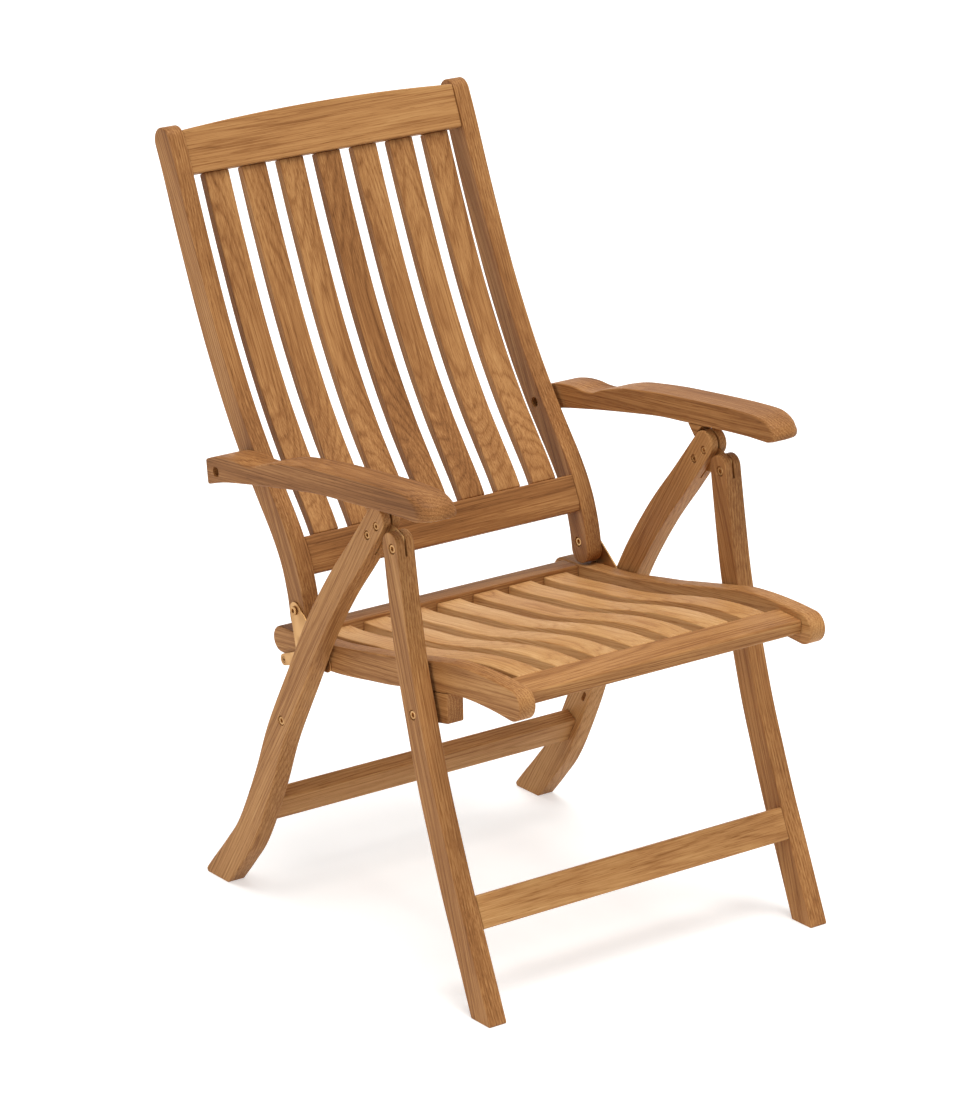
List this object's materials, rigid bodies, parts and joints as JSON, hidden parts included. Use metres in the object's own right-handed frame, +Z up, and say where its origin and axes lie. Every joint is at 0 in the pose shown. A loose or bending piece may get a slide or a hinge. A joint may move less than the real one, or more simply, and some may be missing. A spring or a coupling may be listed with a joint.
{
  "type": "folding teak armchair",
  "caption": "Folding wooden armchair with a high slatted reclining back, waved slatted seat, curved arms and brass pivots, for patio and porch seating.",
  "frame": {"origin": "centre of the bounding box in plan, on the floor under the open chair", "axes": "+Z up, -Y towards the front of the seat, +X towards the sitter's left"},
  "size_m": [0.628, 0.8486, 1.0714],
  "materials": {
    "teak": "sanded teak boards with an oiled, satin surface",
    "brass": "plain turned and stamped brass, slightly dulled"
  },
  "bodies": {
    "rear_legs": {"rear_leg_right": "teak", "rear_leg_left": "teak", "hinge_plate_right": "brass", "hinge_plate_left": "brass", "plate_screw_upper_right": "brass", "plate_screw_upper_left": "brass", "plate_screw_lower_right": "brass", "plate_screw_lower_left": "brass", "link_foot_bolt_right": "brass", "link_foot_bolt_left": "brass", "rear_stretcher": "teak"},
    "front_legs": {"front_leg_right": "teak", "front_leg_left": "teak", "hinge_bolt_right": "brass", "hinge_bolt_left": "brass", "seat_bolt_right": "brass", "seat_bolt_left": "brass", "seat_spacer_right": "brass", "seat_spacer_left": "brass", "front_stretcher": "teak"},
    "seat": {"seat_rail_right": "teak", "seat_rail_left": "teak", "pivot_block_right": "teak", "pivot_block_left": "teak", "back_bracket_right": "brass", "back_bracket_left": "brass", "link_head_bolt_right": "brass", "link_head_bolt_left": "brass", "seat_front_rail": "teak", "seat_rear_rail": "teak", "seat_slat_1": "teak", "seat_slat_2": "teak", "seat_slat_3": "teak", "seat_slat_4": "teak", "seat_slat_5": "teak", "seat_slat_6": "teak", "seat_slat_7": "teak"},
    "links": {"link_right": "brass", "link_left": "brass", "tie_rod": "brass"},
    "pivot_bolts": {"back_pivot_bolt_right": "brass", "back_pivot_bolt_left": "brass"},
    "back": {"stile_right": "teak", "stile_left": "teak", "top_rail": "teak", "lower_rail": "teak", "back_slat_1": "teak", "back_slat_2": "teak", "back_slat_3": "teak", "back_slat_4": "teak", "back_slat_5": "teak", "back_slat_6": "teak", "back_slat_7": "teak"},
    "arm_bolts": {"arm_bolt_right": "brass", "arm_bolt_left": "brass"},
    "arms": {"arm_right": "teak", "arm_left": "teak", "arm_block_right": "teak", "arm_block_left": "teak"}
  },
  "joints": [
    {"name": "leg_fold", "type": "hinge", "parent": "rear_legs", "child": "front_legs", "pos_m": [0, -0.18734, 0.61354], "axis": [1, 0, 0], "range_deg": [0, 48]},
    {"name": "seat_fold", "type": "hinge", "parent": "front_legs", "child": "seat", "pos_m": [0, -0.22682, 0.39301], "axis": [1, 0, 0], "range_deg": [-86, 0]},
    {"name": "link_fold", "type": "hinge", "parent": "seat", "child": "links", "pos_m": [0, 0.07064, 0.38402], "axis": [1, 0, 0], "range_deg": [-94, 0]},
    {"name": "back_fold", "type": "hinge", "parent": "seat", "child": "pivot_bolts", "pos_m": [0, 0.09867, 0.44448], "axis": [1, 0, 0], "range_deg": [0, 96.1]},
    {"name": "back_recline", "type": "hinge", "parent": "pivot_bolts", "child": "back", "pos_m": [0, 0.09867, 0.44448], "axis": [1, 0, 0], "range_deg": [-28, 0]},
    {"name": "arm_fold", "type": "hinge", "parent": "back", "child": "arm_bolts", "pos_m": [0, 0.20021, 0.63002], "axis": [1, 0, 0], "range_deg": [-100, 0]},
    {"name": "arm_recline", "type": "hinge", "parent": "arm_bolts", "child": "arms", "pos_m": [0, 0.20021, 0.63002], "axis": [1, 0, 0], "range_deg": [0, 20]}
  ],
  "couplings": [
    {"joint": "seat_fold", "follows": "leg_fold", "ratio": -1.79},
    {"joint": "link_fold", "follows": "leg_fold", "ratio": -1.954},
    {"joint": "back_fold", "follows": "leg_fold", "ratio": 2},
    {"joint": "arm_fold", "follows": "leg_fold", "ratio": -2.083},
    {"joint": "arm_recline", "follows": "back_recline", "ratio": -0.71}
  ]
}
